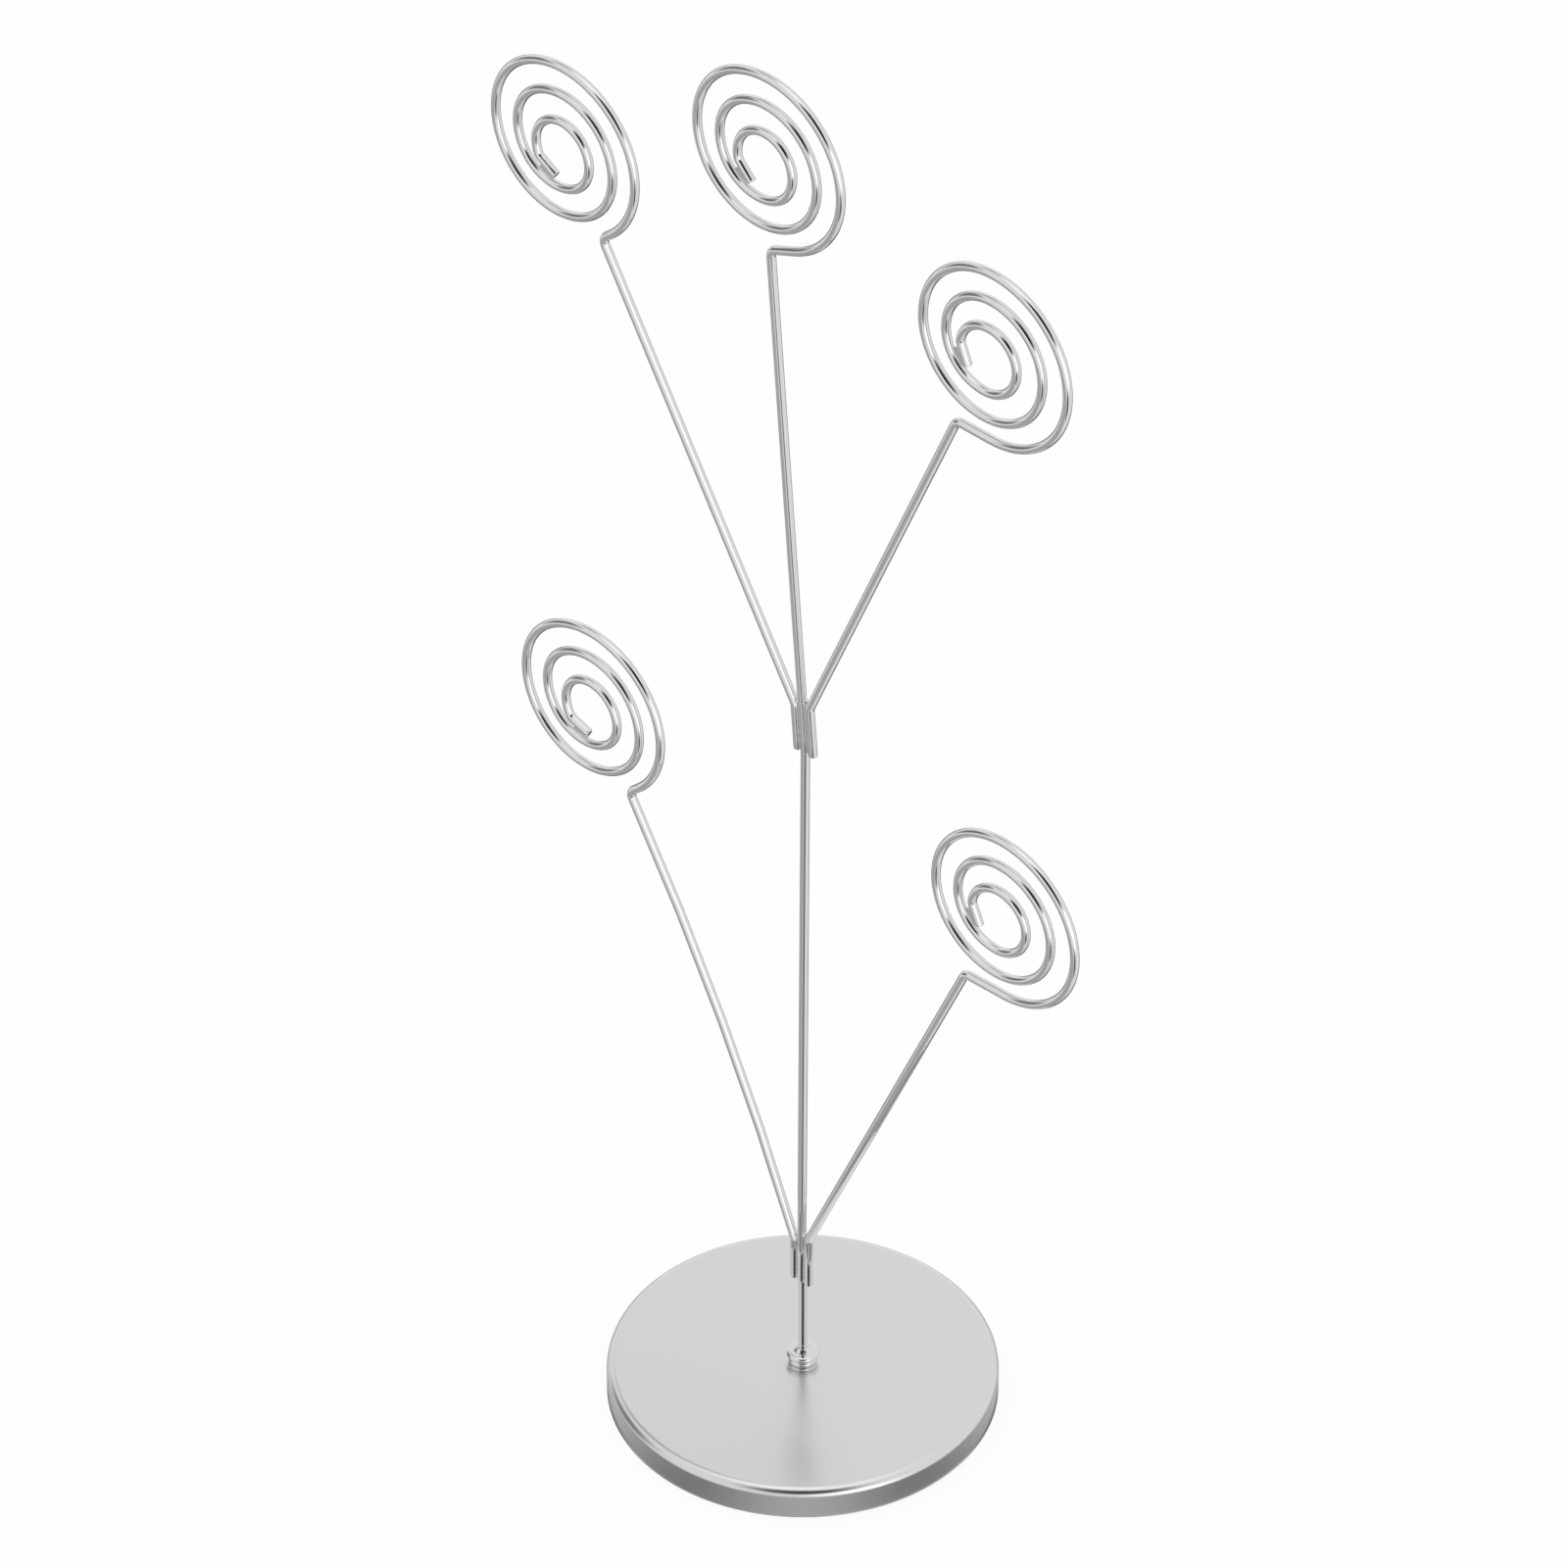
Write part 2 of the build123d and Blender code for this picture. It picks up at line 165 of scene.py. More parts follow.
def rounded_ends(points):
    """The same points with a few more near both ends, and each point's share of the wire's radius."""
    wire_radius = WIRE_DIAMETER / 2
    end_turns = [math.radians(QUARTER_TURN * k / END_STEPS) for k in range(END_STEPS + 1)]
    depths = [WIRE_END_ROUND * (1 - math.cos(turn)) for turn in end_turns]
    shares = [1 - WIRE_END_ROUND * (1 - math.sin(turn)) / wire_radius for turn in end_turns]
    head = (points[1] - points[0]).normalized()
    tail = (points[-2] - points[-1]).normalized()
    path = [points[0] + head * depth for depth in depths] + points[1:-1]
    path += [points[-1] + tail * depth for depth in reversed(depths)]
    return path, shares + [1.0] * (len(points) - 2) + shares[::-1]


def tube_tree():
    """Geometry Nodes: sweeps a round wire along the curve, thinner where a point's radius says so."""
    tree = bpy.data.node_groups.new("bent_wire_tube", "GeometryNodeTree")
    tree.interface.new_socket("Path", in_out="INPUT", socket_type="NodeSocketGeometry")
    for name, kind in (
        ("Wire Radius", "NodeSocketFloat"),
        ("Sides", "NodeSocketInt"),
        ("Material", "NodeSocketMaterial"),
    ):
        tree.interface.new_socket(name, in_out="INPUT", socket_type=kind)
    tree.interface.new_socket("Wire", in_out="OUTPUT", socket_type="NodeSocketGeometry")
    new = tree.nodes.new
    group_in = new("NodeGroupInput")
    group_out = new("NodeGroupOutput")
    circle = new("GeometryNodeCurvePrimitiveCircle")
    thinning = new("GeometryNodeInputRadius")
    sweep = new("GeometryNodeCurveToMesh")
    sweep.inputs["Fill Caps"].default_value = True
    smooth = new("GeometryNodeSetShadeSmooth")
    real = new("GeometryNodeRealizeInstances")
    plating = new("GeometryNodeSetMaterial")
    link = tree.links.new
    link(group_in.outputs["Wire Radius"], circle.inputs["Radius"])
    link(group_in.outputs["Sides"], circle.inputs["Resolution"])
    link(group_in.outputs["Path"], sweep.inputs["Curve"])
    link(circle.outputs["Curve"], sweep.inputs["Profile Curve"])
    link(thinning.outputs["Radius"], sweep.inputs["Scale"])
    link(sweep.outputs["Mesh"], smooth.inputs["Geometry"])
    link(smooth.outputs["Geometry"], real.inputs["Geometry"])
    link(real.outputs["Geometry"], plating.inputs["Geometry"])
    link(group_in.outputs["Material"], plating.inputs["Material"])
    link(plating.outputs["Geometry"], group_out.inputs["Wire"])
    return tree


def wear_group():
    """Shader group: patchy roughness, shallow waves and fine drawn lines, in object coordinates."""
    group = bpy.data.node_groups.new("plated_wear", "ShaderNodeTree")
    for name, value in (
        ("Roughness", 0.08),
        ("Patch Scale", 250.0),
        ("Wave Depth", 0.00001),
        ("Grain Scale", 4000.0),
        ("Grain Depth", 0.000002),
    ):
        socket = group.interface.new_socket(name, in_out="INPUT", socket_type="NodeSocketFloat")
        socket.default_value = value
    group.interface.new_socket("Roughness", in_out="OUTPUT", socket_type="NodeSocketFloat")
    group.interface.new_socket("Normal", in_out="OUTPUT", socket_type="NodeSocketVector")
    new = group.nodes.new
    group_in = new("NodeGroupInput")
    group_out = new("NodeGroupOutput")
    place = new("ShaderNodeTexCoord")
    patches = new("ShaderNodeTexNoise")
    grain = new("ShaderNodeTexNoise")
    spread = new("ShaderNodeMapRange")
    spread.inputs["To Min"].default_value = SMOOTHEST_PATCH
    spread.inputs["To Max"].default_value = ROUGHEST_PATCH
    roughness = new("ShaderNodeMath")
    roughness.operation = "MULTIPLY"
    waves = new("ShaderNodeBump")
    fine = new("ShaderNodeBump")
    link = group.links.new
    link(place.outputs["Object"], patches.inputs["Vector"])
    link(place.outputs["Object"], grain.inputs["Vector"])
    link(group_in.outputs["Patch Scale"], patches.inputs["Scale"])
    link(group_in.outputs["Grain Scale"], grain.inputs["Scale"])
    link(patches.outputs["Fac"], spread.inputs["Value"])
    link(group_in.outputs["Roughness"], roughness.inputs[0])
    link(spread.outputs["Result"], roughness.inputs[1])
    link(patches.outputs["Fac"], waves.inputs["Height"])
    link(group_in.outputs["Wave Depth"], waves.inputs["Distance"])
    link(grain.outputs["Fac"], fine.inputs["Height"])
    link(group_in.outputs["Grain Depth"], fine.inputs["Distance"])
    link(waves.outputs["Normal"], fine.inputs["Normal"])
    link(roughness.outputs["Value"], group_out.inputs["Roughness"])
    link(fine.outputs["Normal"], group_out.inputs["Normal"])
    return group


def metal(name, color, roughness, patch_scale, wave_depth, grain_scale, grain_depth):
    """A worn metal: Principled with the plated_wear group."""
    material = bpy.data.materials.new(name)
    material.use_nodes = True
    tree = material.node_tree
    surface = tree.nodes["Principled BSDF"]
    surface.inputs["Base Color"].default_value = (*color, 1.0)
    surface.inputs["Metallic"].default_value = 1.0
    wear = tree.nodes.new("ShaderNodeGroup")
    wear.node_tree = bpy.data.node_groups["plated_wear"]
    wear.inputs["Roughness"].default_value = roughness
    wear.inputs["Patch Scale"].default_value = patch_scale
    wear.inputs["Wave Depth"].default_value = wave_depth
    wear.inputs["Grain Scale"].default_value = grain_scale
    wear.inputs["Grain Depth"].default_value = grain_depth
    tree.links.new(wear.outputs["Roughness"], surface.inputs["Roughness"])
    tree.links.new(wear.outputs["Normal"], surface.inputs["Normal"])
    return material


wear_group()
bright_wire = metal(
    "bright_wire",
    color=(0.84, 0.84, 0.85),
    roughness=0.045,
    patch_scale=220.0,
    wave_depth=0.00002,
    grain_scale=5000.0,
    grain_depth=0.0000008,
)
tube = tube_tree()


def bent_wire(node, points, row_y):
    """Makes one wire as a plain mesh and puts it in the place of its CAD node."""
    path, shares = rounded_ends(points)
    curve = bpy.data.curves.new(node + "_path", "CURVE")
    curve.dimensions = "3D"
    spline = curve.splines.new("POLY")
    spline.points.add(len(path) - 1)
    for point, place, share in zip(spline.points, path, shares):
        point.co = (place.x, row_y, place.y, 1.0)
        point.radius = share
    source = bpy.data.objects.new(node + "_source", curve)
    bpy.context.scene.collection.objects.link(source)
    sweep = source.modifiers.new("wire", "NODES")
    sweep.node_group = tube
    sockets = {item.name: item.identifier for item in tube.interface.items_tree if item.in_out == "INPUT"}
    sweep[sockets["Wire Radius"]] = WIRE_DIAMETER / 2
    sweep[sockets["Sides"]] = WIRE_SIDES
    sweep[sockets["Material"]] = bright_wire
    evaluated = source.evaluated_get(bpy.context.evaluated_depsgraph_get())
    mesh = bpy.data.meshes.new_from_object(evaluated)
    for face in mesh.polygons:
        face.use_smooth = len(face.vertices) == 4
    source.modifiers.remove(sweep)
    bpy.data.objects.remove(source)
    wire = bpy.data.objects.new(node + "_wire", mesh)
    bpy.context.scene.collection.objects.link(wire)
    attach(wire, "tree")
    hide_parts(node)


def row_middle(node):
    """Depth of the plane that a wire lies in."""
    low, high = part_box(node)
    return (low.y + high.y) / 2


for node, clip in CLIPS.items():
    start = Vector((clip["fork"]["x"] + LAP_PITCH * clip["place"], clip["fork"]["z"]))
    heading = QUARTER_TURN - clip["fork"]["lean"]
    bent_wire(node, wire_points(start, heading, clip_moves(clip)), row_middle(node))

stem_low, stem_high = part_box("lower_stem")
lower_stem_run = [(stem_high.z - stem_low.z, None)]
bent_wire("lower_stem", wire_points(Vector((0, stem_low.z)), QUARTER_TURN, lower_stem_run), 0)

stem_low, stem_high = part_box("upper_stem")
upper_stem_run = [((stem_high.z - LOWER_FORK_HEIGHT) / math.cos(math.radians(UPPER_STEM_LEAN)), None)]
upper_stem_foot = Vector((upper_stem_x, LOWER_FORK_HEIGHT))
upper_stem_points = wire_points(upper_stem_foot, QUARTER_TURN - UPPER_STEM_LEAN, upper_stem_run)
bent_wire("upper_stem", upper_stem_points, row_middle("upper_stem"))


# Brazes: eight places where filler metal was melted on by hand and plated over.
# Three join the wires to each other and to the collar, and five hold the spirals' tips.
# Each is the CAD solid grown together, softened and roughened by the flow of the filler.
BRAZE_VOXEL = 0.00007
BRAZE_SOFTENING = 4
BRAZE_LUMP = 0.0009
BRAZE_LUMP_DEPTH = {"tip": 0.0001, "fork": 0.00018, "foot": 0.00015}
BRAZE_LUMP_REST = {"tip": 0.6, "fork": 0.6, "foot": 0.5}
TIP_BRAZE_THINNING = 0.4
BRAZES = ["foot_braze", "lower_fork_braze", "upper_fork_braze"]
BRAZES += [node.replace("_clip", "_tip_braze") for node in CLIPS]

braze_metal = metal(
    "braze_metal",
    color=(0.84, 0.84, 0.84),
    roughness=0.13,
    patch_scale=900.0,
    wave_depth=0.00005,
    grain_scale=4500.0,
    grain_depth=0.000003,
)
lumps = bpy.data.textures.new("braze_lumps", "CLOUDS")
lumps.noise_scale = BRAZE_LUMP

for node in BRAZES:
    kind = node.split("_")[-2]
    copy = nodes[node].data.copy()
    copy.name = node + "_filler"
    copy.materials.clear()
    copy.materials.append(braze_metal)
    filler = bpy.data.objects.new(node + "_filler", copy)
    bpy.context.scene.collection.objects.link(filler)
    grow = filler.modifiers.new("grow", "REMESH")
    grow.mode = "VOXEL"
    grow.voxel_size = BRAZE_VOXEL
    soften = filler.modifiers.new("soften", "SMOOTH")
    soften.iterations = BRAZE_SOFTENING
    roughen = filler.modifiers.new("roughen", "DISPLACE")
    roughen.texture = lumps
    roughen.strength = BRAZE_LUMP_DEPTH[kind]
    roughen.mid_level = BRAZE_LUMP_REST[kind]
    roughen.texture_coords = "LOCAL"
    evaluated = filler.evaluated_get(bpy.context.evaluated_depsgraph_get())
    mesh = bpy.data.meshes.new_from_object(evaluated)
    filler.modifiers.clear()
    filler.data = mesh
    if kind == "tip":
        wire_plane = row_middle(node)
        for vertex in mesh.vertices:
            vertex.co.y = wire_plane + (vertex.co.y - wire_plane) * TIP_BRAZE_THINNING
    for face in mesh.polygons:
        face.use_smooth = True
    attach(filler, "tree")
    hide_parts(node)


# Stem collar: a small turned steel boss, two rounded beads with a groove between them.
# It is plated with the base, and its spigot goes down through the cover into the weight.
# The screw below holds it, so the tree can be turned by hand.
COLLAR_DISC_HEIGHT = 0.00145
COLLAR_GROOVE_HEIGHT = 0.0001
COLLAR_GROOVE_DEPTH = 0.0009
COLLAR_FOOT_STEP = 0.00035
COLLAR_DISC_ROUND = 0.00075
COLLAR_STEPS = 128
FOOT_ROUND_SHARE = 0.5
SPIGOT_RADIUS = 0.0023
SOCKET_RADIUS = 0.000945
THREAD_RADIUS = 0.00152
BEAD_STEPS = 12
SHARP_BEND = 30.0


def lathe(name, profile, steps, material):
    """A closed turned form about +Z from (radius, height) points; bends over SHARP_BEND stay sharp."""
    body = bmesh.new()
    rings = []
    for radius, height in profile:
        ring = []
        for step in range(steps):
            angle = 2 * math.pi * step / steps
            ring.append(body.verts.new((radius * math.cos(angle), radius * math.sin(angle), height)))
        rings.append(ring)
    for k, ring in enumerate(rings):
        following = rings[(k + 1) % len(rings)]
        for step in range(steps):
            turn = (step + 1) % steps
            body.faces.new((ring[step], ring[turn], following[turn], following[step])).smooth = True
    bmesh.ops.recalc_face_normals(body, faces=body.faces)
    for edge in body.edges:
        edge.smooth = edge.calc_face_angle(0) < math.radians(SHARP_BEND)
    mesh = bpy.data.meshes.new(name)
    body.to_mesh(mesh)
    body.free()
    mesh.materials.append(material)
    turned = bpy.data.objects.new(name, mesh)
    bpy.context.scene.collection.objects.link(turned)
    return turned


def rounded(centre, size, start_angle, steps):
    """Points of a quarter round about a centre, from its radius and height."""
    angles = [math.radians(start_angle + QUARTER_TURN * k / steps) for k in range(steps + 1)]
    return [(centre[0] + size * math.cos(a), centre[1] + size * math.sin(a)) for a in angles]


collar_low, collar_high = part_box("stem_collar")
collar_radius = collar_high.x
cover_low, cover_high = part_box("base_cover")
disc_bottom = collar_high.z - COLLAR_DISC_HEIGHT
foot_top = disc_bottom - COLLAR_GROOVE_HEIGHT
foot_radius = collar_radius - COLLAR_FOOT_STEP
groove_radius = collar_radius - COLLAR_GROOVE_DEPTH
stem_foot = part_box("lower_stem")[0].z
under_round = COLLAR_DISC_HEIGHT - COLLAR_DISC_ROUND
under_centre = (collar_radius - under_round, disc_bottom + under_round)
disc_centre = (collar_radius - COLLAR_DISC_ROUND, collar_high.z - COLLAR_DISC_ROUND)
foot_round = (foot_top - cover_high.z) * FOOT_ROUND_SHARE
foot_centre = (foot_radius - foot_round, foot_top - foot_round)
foot_under_round = foot_top - cover_high.z - foot_round
foot_under_centre = (foot_radius - foot_under_round, cover_high.z + foot_under_round)
collar_profile = [
    (THREAD_RADIUS, collar_low.z),
    (SPIGOT_RADIUS, collar_low.z),
    (SPIGOT_RADIUS, cover_high.z),
    *rounded(foot_under_centre, foot_under_round, -QUARTER_TURN, BEAD_STEPS),
    *rounded(foot_centre, foot_round, 0, BEAD_STEPS)[1:],
    (groove_radius, foot_top),
    (groove_radius, disc_bottom),
    *rounded(under_centre, under_round, -QUARTER_TURN, BEAD_STEPS),
    *rounded(disc_centre, COLLAR_DISC_ROUND, 0, BEAD_STEPS)[1:],
    (SOCKET_RADIUS, collar_high.z),
    (SOCKET_RADIUS, stem_foot),
    (THREAD_RADIUS, stem_foot),
]
satin_plate = metal(
    "satin_plate",
    color=(0.84, 0.84, 0.85),
    roughness=0.12,
    patch_scale=60.0,
    wave_depth=0.00001,
    grain_scale=9000.0,
    grain_depth=0.0000005,
)
collar = lathe("stem_collar_turned", collar_profile, COLLAR_STEPS, satin_plate)
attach(collar, "tree")
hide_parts("stem_collar")


# Base cover: a drawn steel shell with a rounded top edge, satin polished and plated.
# The sheet is thin, so its skirt ends in a fine bevel just above the table.
COVER_WALL = 0.0008
COVER_EDGE_RADIUS = 0.0019
SKIRT_BEVEL = 0.0002
COLLAR_HOLE_RADIUS = 0.00236
COVER_STEPS = 256
EDGE_STEPS = 16

cover_radius = cover_high.x
cover_top = cover_high.z
skirt_bottom = cover_low.z
edge_centre = (cover_radius - COVER_EDGE_RADIUS, cover_top - COVER_EDGE_RADIUS)
cover_profile = [
    (COLLAR_HOLE_RADIUS, cover_top),
    *rounded(edge_centre, COVER_EDGE_RADIUS, 0, EDGE_STEPS)[::-1],
    (cover_radius, skirt_bottom + SKIRT_BEVEL),
    (cover_radius - SKIRT_BEVEL, skirt_bottom),
    (cover_radius - COVER_WALL, skirt_bottom),
    *rounded(edge_centre, COVER_EDGE_RADIUS - COVER_WALL, 0, EDGE_STEPS),
    (COLLAR_HOLE_RADIUS, cover_top - COVER_WALL),
]
cover_plate = metal(
    "cover_plate",
    color=(0.82, 0.82, 0.83),
    roughness=0.22,
    patch_scale=18.0,
    wave_depth=0.00001,
    grain_scale=7000.0,
    grain_depth=0.0000008,
)
cover = lathe("base_cover_shell", cover_profile, COVER_STEPS, cover_plate)
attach(cover, "base")
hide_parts("base_cover")


# Hidden core of the base: a turned steel weight, its screw and two washers.
# They are seen only from below or in a section, and keep their CAD shapes.
turned_steel = metal(
    "turned_steel",
    color=(0.45, 0.45, 0.46),
    roughness=0.38,
    patch_scale=120.0,
    wave_depth=0.00003,
    grain_scale=3000.0,
    grain_depth=0.000004,
)
zinc_plate = metal(
    "zinc_plate",
    color=(0.62, 0.63, 0.66),
    roughness=0.28,
    patch_scale=600.0,
    wave_depth=0.00001,
    grain_scale=5000.0,
    grain_depth=0.000002,
)
for node, material in (
    ("base_weight", turned_steel),
    ("fixing_screw", zinc_plate),
    ("flat_washer", zinc_plate),
    ("spring_washer", zinc_plate),
):
    nodes[node].data.materials.clear()
    nodes[node].data.materials.append(material)


# Base pad: a black soft disc glued under the weight, which hides the screw.
# It is closed-cell foam, so its skin is matt and finely pitted, with painted shade darkening the pits.
FOAM_ROUGHNESS = 0.9
FOAM_CELL_SCALE = 1800.0
FOAM_CELL_DEPTH = 0.0001
FOAM_PIT_SHADE_COLOR = (0.02, 0.02, 0.02, 1.0)
FOAM_SKIN_COLOR = (0.06, 0.06, 0.06, 1.0)

foam = bpy.data.materials.new("foam_pad")
foam.use_nodes = True
foam_tree = foam.node_tree
foam_surface = foam_tree.nodes["Principled BSDF"]
foam_surface.inputs["Roughness"].default_value = FOAM_ROUGHNESS
foam_place = foam_tree.nodes.new("ShaderNodeTexCoord")
foam_cells = foam_tree.nodes.new("ShaderNodeTexVoronoi")
foam_cells.inputs["Scale"].default_value = FOAM_CELL_SCALE
# The pits are coloured darker than the skin by the same cells that make the relief: painted shade in the
# hollows.
foam_color = foam_tree.nodes.new("ShaderNodeValToRGB")
foam_color.color_ramp.elements[0].color = FOAM_PIT_SHADE_COLOR
foam_color.color_ramp.elements[1].color = FOAM_SKIN_COLOR
foam_relief = foam_tree.nodes.new("ShaderNodeBump")
foam_relief.inputs["Distance"].default_value = FOAM_CELL_DEPTH
foam_tree.links.new(foam_place.outputs["Object"], foam_cells.inputs["Vector"])
foam_tree.links.new(foam_cells.outputs["Distance"], foam_color.inputs["Fac"])
foam_tree.links.new(foam_color.outputs["Color"], foam_surface.inputs["Base Color"])
foam_tree.links.new(foam_cells.outputs["Distance"], foam_relief.inputs["Height"])
foam_tree.links.new(foam_relief.outputs["Normal"], foam_surface.inputs["Normal"])
nodes["base_pad"].data.materials.clear()
nodes["base_pad"].data.materials.append(foam)


# Camera: the photograph's own view, a long lens from the right and above.
# It stands about two metres away, so the upright wires stay nearly parallel.
CAMERA_PLACE = Vector((1.016704, -1.095872, 1.334388))
CAMERA_RIGHT = Vector((0.7310, 0.6824, 0.0006))
CAMERA_UP = Vector((-0.4226, 0.4520, 0.7856))
CAMERA_LENS = 224.62
CAMERA_SENSOR = 36.0
CAMERA_NEAR = 0.1
CAMERA_FAR = 20.0

lens = bpy.data.cameras.new("photo_camera")
lens.lens = CAMERA_LENS
lens.sensor_width = CAMERA_SENSOR
lens.clip_start = CAMERA_NEAR
lens.clip_end = CAMERA_FAR
camera = bpy.data.objects.new("photo_camera", lens)
bpy.context.scene.collection.objects.link(camera)
camera_right = CAMERA_RIGHT.normalized()
camera_back = camera_right.cross(CAMERA_UP).normalized()
camera_up = camera_back.cross(camera_right)
turn = Matrix((camera_right, camera_up, camera_back)).transposed()
camera.matrix_world = Matrix.Translation(CAMERA_PLACE) @ turn.to_4x4()
bpy.context.scene.camera = camera


# Floor: a plain white sheet under the stand.
# It shows white to the camera and takes a faint shadow.
FLOOR_HALF = 2.0
SHADOW_SHARE = 0.08
SHEET_COLOR = (0.95, 0.95, 0.95, 1.0)

floor_mesh = bpy.data.meshes.new("floor")
floor_corners = [(x * FLOOR_HALF, y * FLOOR_HALF, 0) for x, y in ((-1, -1), (1, -1), (1, 1), (-1, 1))]
floor_mesh.from_pydata(floor_corners, [], [(0, 1, 2, 3)])
floor = bpy.data.objects.new("floor", floor_mesh)
bpy.context.scene.collection.objects.link(floor)
floor.visible_glossy = False
sheet = bpy.data.materials.new("white_sheet")
sheet.use_nodes = True
sheet_tree = sheet.node_tree
sheet_tree.nodes.remove(sheet_tree.nodes["Principled BSDF"])
sheet_matt = sheet_tree.nodes.new("ShaderNodeBsdfDiffuse")
sheet_matt.inputs["Color"].default_value = SHEET_COLOR
sheet_glow = sheet_tree.nodes.new("ShaderNodeEmission")
sheet_mix = sheet_tree.nodes.new("ShaderNodeMixShader")
sheet_path = sheet_tree.nodes.new("ShaderNodeLightPath")
sheet_share = sheet_tree.nodes.new("ShaderNodeMath")
sheet_share.operation = "MULTIPLY"
sheet_share.inputs[1].default_value = 1 - SHADOW_SHARE
sheet_tree.links.new(sheet_path.outputs["Is Camera Ray"], sheet_share.inputs[0])
sheet_tree.links.new(sheet_share.outputs["Value"], sheet_mix.inputs["Fac"])
sheet_tree.links.new(sheet_matt.outputs["BSDF"], sheet_mix.inputs[1])
sheet_tree.links.new(sheet_glow.outputs["Emission"], sheet_mix.inputs[2])
sheet_tree.links.new(sheet_mix.outputs["Shader"], sheet_tree.nodes["Material Output"].inputs["Surface"])
floor_mesh.materials.append(sheet)


# Table shade: a dim glowing ring on the table, a painted reflection of the shade around the base.
# Only reflections see it, and the base's side wall mirrors it; it is lighter in front and behind than at
# the flanks.
SHADE_INNER = 0.0408
SHADE_OUTER = 0.060
SHADE_STEPS = 180
SHADE_FRONT = 0.42
SHADE_FLANK = 0.22
SHADE_BACK = 0.50
SHADE_FLANK_TURN = 38.0
CAMERA_TURN = 43.0
HALF_TURN = 2 * QUARTER_TURN
FULL_TURN = 2 * HALF_TURN


def eased(share):
    """A share from 0 to 1 that starts and ends gently."""
    return math.sin(math.radians(QUARTER_TURN * share)) ** 2


shade_places = []
shade_levels = []
for step in range(SHADE_STEPS):
    azimuth = FULL_TURN * step / SHADE_STEPS
    turned = abs((azimuth - CAMERA_TURN + HALF_TURN) % FULL_TURN - HALF_TURN)
    if turned < SHADE_FLANK_TURN:
        dimming = turned / SHADE_FLANK_TURN
        level = SHADE_FRONT + (SHADE_FLANK - SHADE_FRONT) * eased(dimming)
    else:
        clearing = min((turned - SHADE_FLANK_TURN) / (QUARTER_TURN - SHADE_FLANK_TURN), 1)
        level = SHADE_FLANK + (SHADE_BACK - SHADE_FLANK) * eased(clearing)
    outward = Vector((math.sin(math.radians(azimuth)), -math.cos(math.radians(azimuth)), 0))
    shade_places += [outward * SHADE_INNER, outward * SHADE_OUTER]
    shade_levels += [level, level]
shade_faces = [
    (2 * k, 2 * k + 1, (2 * k + 3) % (2 * SHADE_STEPS), (2 * k + 2) % (2 * SHADE_STEPS))
    for k in range(SHADE_STEPS)
]
shade_mesh = bpy.data.meshes.new("painted_shade_ring")
shade_mesh.from_pydata(shade_places, [], shade_faces)
shade_mesh.attributes.new("level", "FLOAT", "POINT").data.foreach_set("value", shade_levels)
painted_shade_ring = bpy.data.objects.new("painted_shade_ring", shade_mesh)
bpy.context.scene.collection.objects.link(painted_shade_ring)
painted_shade_ring.visible_camera = False
painted_shade_ring.visible_diffuse = False
painted_shade_ring.visible_transmission = False
painted_shade_ring.visible_shadow = False
shade = bpy.data.materials.new("painted_shade_ring")
shade.use_nodes = True
shade_tree = shade.node_tree
shade_tree.nodes.remove(shade_tree.nodes["Principled BSDF"])
shade_level = shade_tree.nodes.new("ShaderNodeAttribute")
shade_level.attribute_name = "level"
# Its glow, at each point's level, is the painted reflection of the table's shade.
shade_glow = shade_tree.nodes.new("ShaderNodeEmission")
shade_tree.links.new(shade_level.outputs["Fac"], shade_glow.inputs["Strength"])
shade_tree.links.new(shade_glow.outputs["Emission"], shade_tree.nodes["Material Output"].inputs["Surface"])
shade_mesh.materials.append(shade)


# Room: white for the camera, plain grey-white for the light, and for bright metal a room
# with a few soft dark and light places. Each has a direction, counted from the camera's
# side and up from the horizon, an even core, a reach where it has faded out, and a level.
ROOM_LEVEL = 0.80
DAYLIGHT = 0.8
WHITE = (1.0, 1.0, 1.0, 1.0)
WHITE_LEVEL = 1.0
ROOM_PLACES = [
    {"name": "table_behind", "turn": 180, "rise": -46, "core": 26, "reach": 56, "level": 0.12},
    {"name": "table_left", "turn": -70, "rise": -50, "core": 16, "reach": 42, "level": 0.40},
    {"name": "left_wall", "turn": -108, "rise": 12, "core": 8, "reach": 28, "level": 0.18},
    {"name": "ceiling_edge", "turn": -150, "rise": 54, "core": 6, "reach": 18, "level": 0.40},
    {"name": "window", "turn": 28, "rise": 0, "core": 12, "reach": 32, "level": 1.40},
    {"name": "back_wall", "turn": 178, "rise": 6, "core": 8, "reach": 26, "level": 0.92},
    {"name": "ceiling", "turn": 0, "rise": 84, "core": 12, "reach": 30, "level": 1.10},
    {"name": "table_edge", "turn": 0, "rise": -40, "core": 6, "reach": 19, "level": 0.08},
    {"name": "camera_side", "turn": 0, "rise": 40, "core": 19, "reach": 30, "level": 0.0},
]

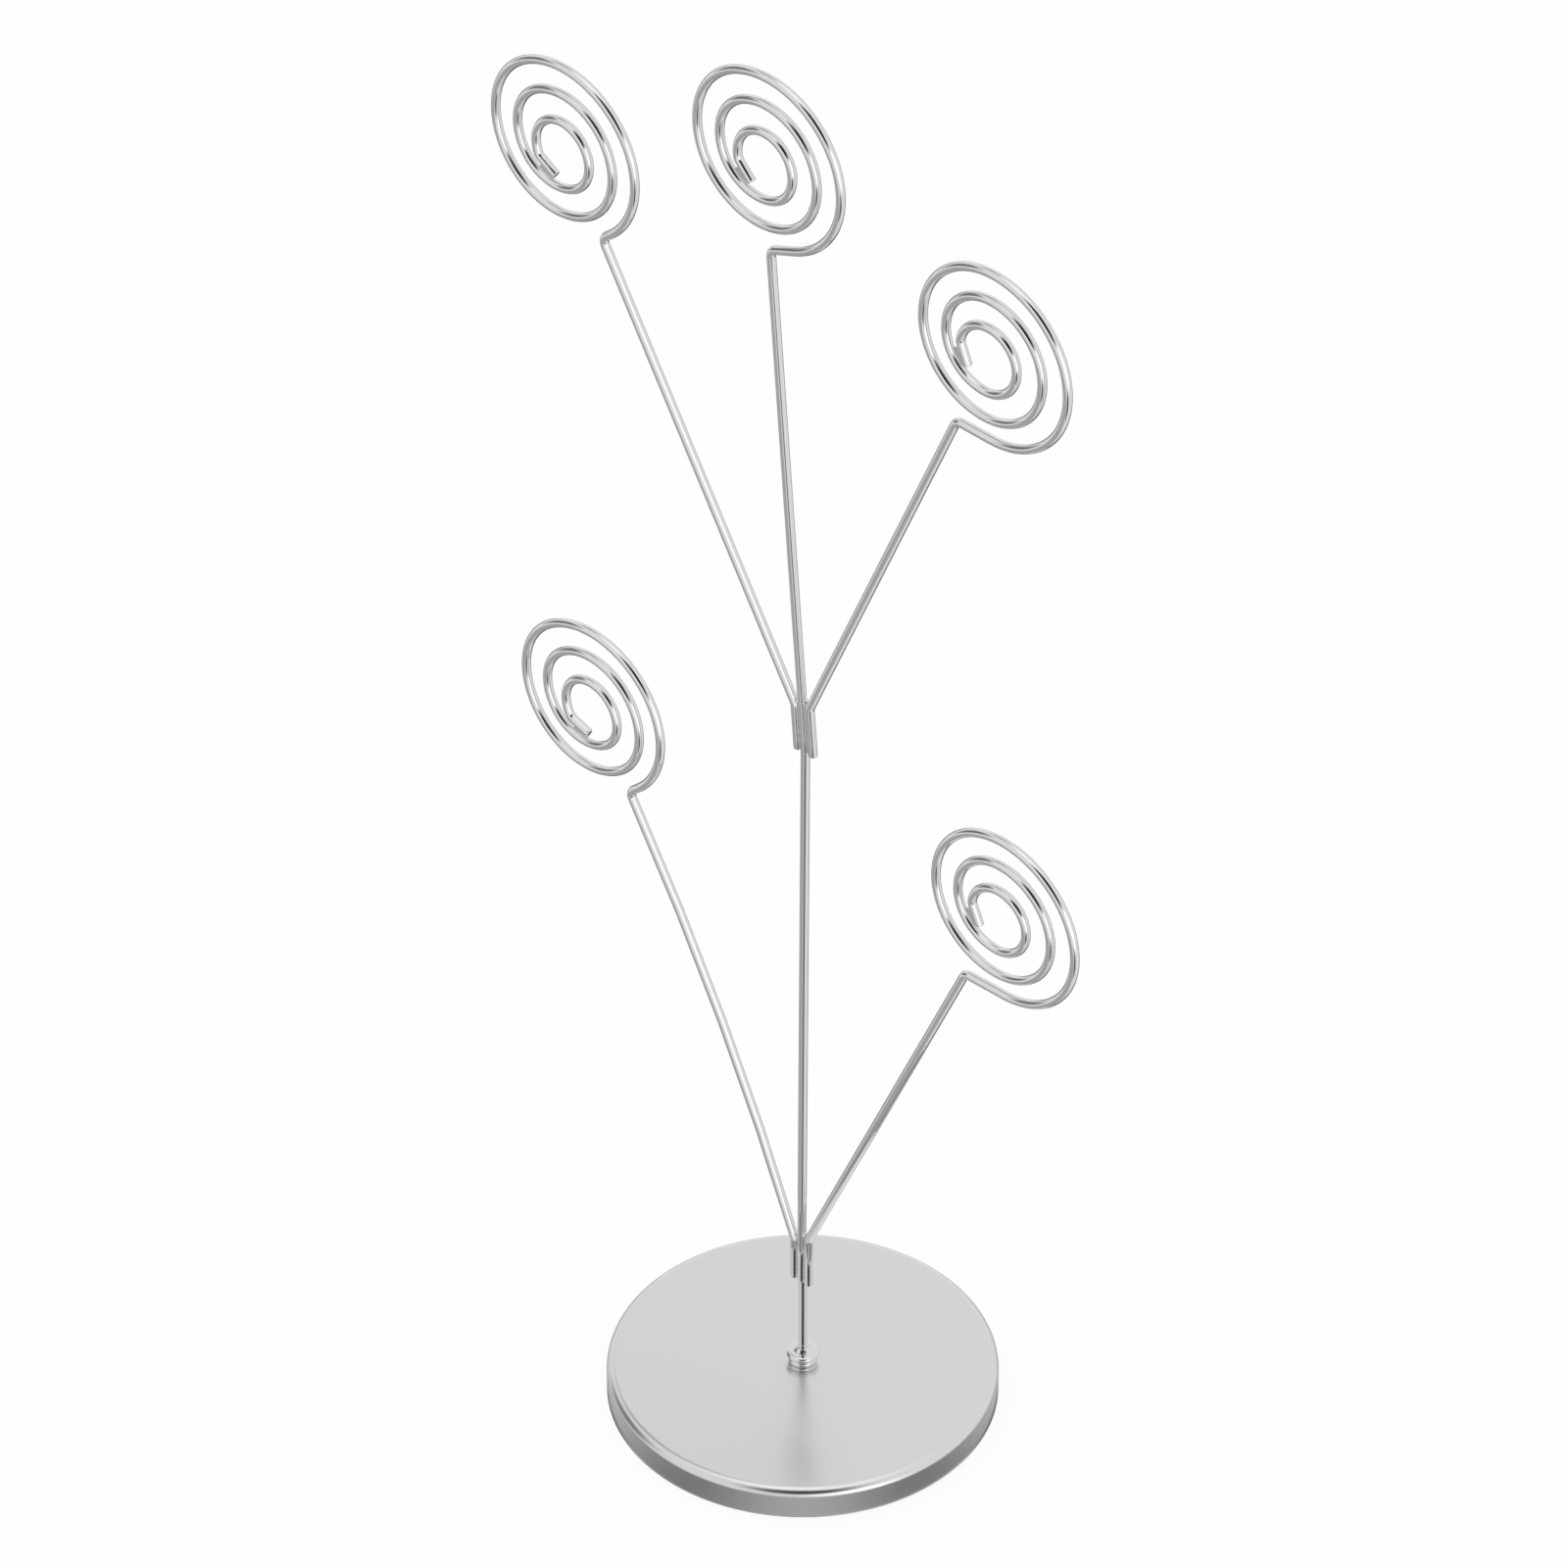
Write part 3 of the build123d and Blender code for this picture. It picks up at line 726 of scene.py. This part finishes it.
world = bpy.data.worlds.new("room")
bpy.context.scene.world = world
world.use_nodes = True
room = world.node_tree
room_sky = room.nodes["Background"]
room_sky.inputs["Color"].default_value = WHITE
room_path = room.nodes.new("ShaderNodeLightPath")
room_place = room.nodes.new("ShaderNodeTexCoord")
room_unit = room.nodes.new("ShaderNodeVectorMath")
room_unit.operation = "NORMALIZE"
room.links.new(room_place.outputs["Generated"], room_unit.inputs[0])
level_socket = None
for place in ROOM_PLACES:
    azimuth = math.radians(CAMERA_TURN + place["turn"])
    rise = math.radians(place["rise"])
    towards = room.nodes.new("ShaderNodeVectorMath")
    towards.operation = "DOT_PRODUCT"
    towards.inputs[1].default_value = (
        math.sin(azimuth) * math.cos(rise),
        -math.cos(azimuth) * math.cos(rise),
        math.sin(rise),
    )
    room.links.new(room_unit.outputs["Vector"], towards.inputs[0])
    fade = room.nodes.new("ShaderNodeMapRange")
    fade.interpolation_type = "SMOOTHSTEP"
    fade.inputs["From Min"].default_value = math.cos(math.radians(place["reach"]))
    fade.inputs["From Max"].default_value = math.cos(math.radians(place["core"]))
    room.links.new(towards.outputs["Value"], fade.inputs["Value"])
    blend = room.nodes.new("ShaderNodeMix")
    blend.label = place["name"]
    room.links.new(fade.outputs["Result"], blend.inputs["Factor"])
    if level_socket is None:
        blend.inputs["A"].default_value = ROOM_LEVEL
    else:
        room.links.new(level_socket, blend.inputs["A"])
    blend.inputs["B"].default_value = place["level"]
    level_socket = blend.outputs["Result"]
plain = room.nodes.new("ShaderNodeMix")
plain.inputs["A"].default_value = DAYLIGHT
room.links.new(level_socket, plain.inputs["B"])
room.links.new(room_path.outputs["Is Glossy Ray"], plain.inputs["Factor"])
seen = room.nodes.new("ShaderNodeMix")
room.links.new(plain.outputs["Result"], seen.inputs["A"])
seen.inputs["B"].default_value = WHITE_LEVEL
room.links.new(room_path.outputs["Is Camera Ray"], seen.inputs["Factor"])
room.links.new(seen.outputs["Result"], room_sky.inputs["Strength"])


# Lamp: one wide soft light from above, at a plain level.
# Bright metal doesn't mirror it, because the room already holds its window.
LAMP_SIZE = 0.8
LAMP_POWER = 4.0
LAMP_PLACE = Vector((-0.5, -0.3, 1.5))
LAMP_AIM = Vector((0, 0, 0.15))

lamp_data = bpy.data.lights.new("soft_lamp", "AREA")
lamp_data.shape = "DISK"
lamp_data.size = LAMP_SIZE
lamp_data.energy = LAMP_POWER
lamp = bpy.data.objects.new("soft_lamp", lamp_data)
bpy.context.scene.collection.objects.link(lamp)
lamp.visible_glossy = False
lamp.location = LAMP_PLACE
lamp.rotation_euler = (LAMP_AIM - LAMP_PLACE).to_track_quat("-Z", "Y").to_euler()


# Picture: colours are shown plainly, as they are written.
bpy.context.scene.view_settings.view_transform = "Standard"
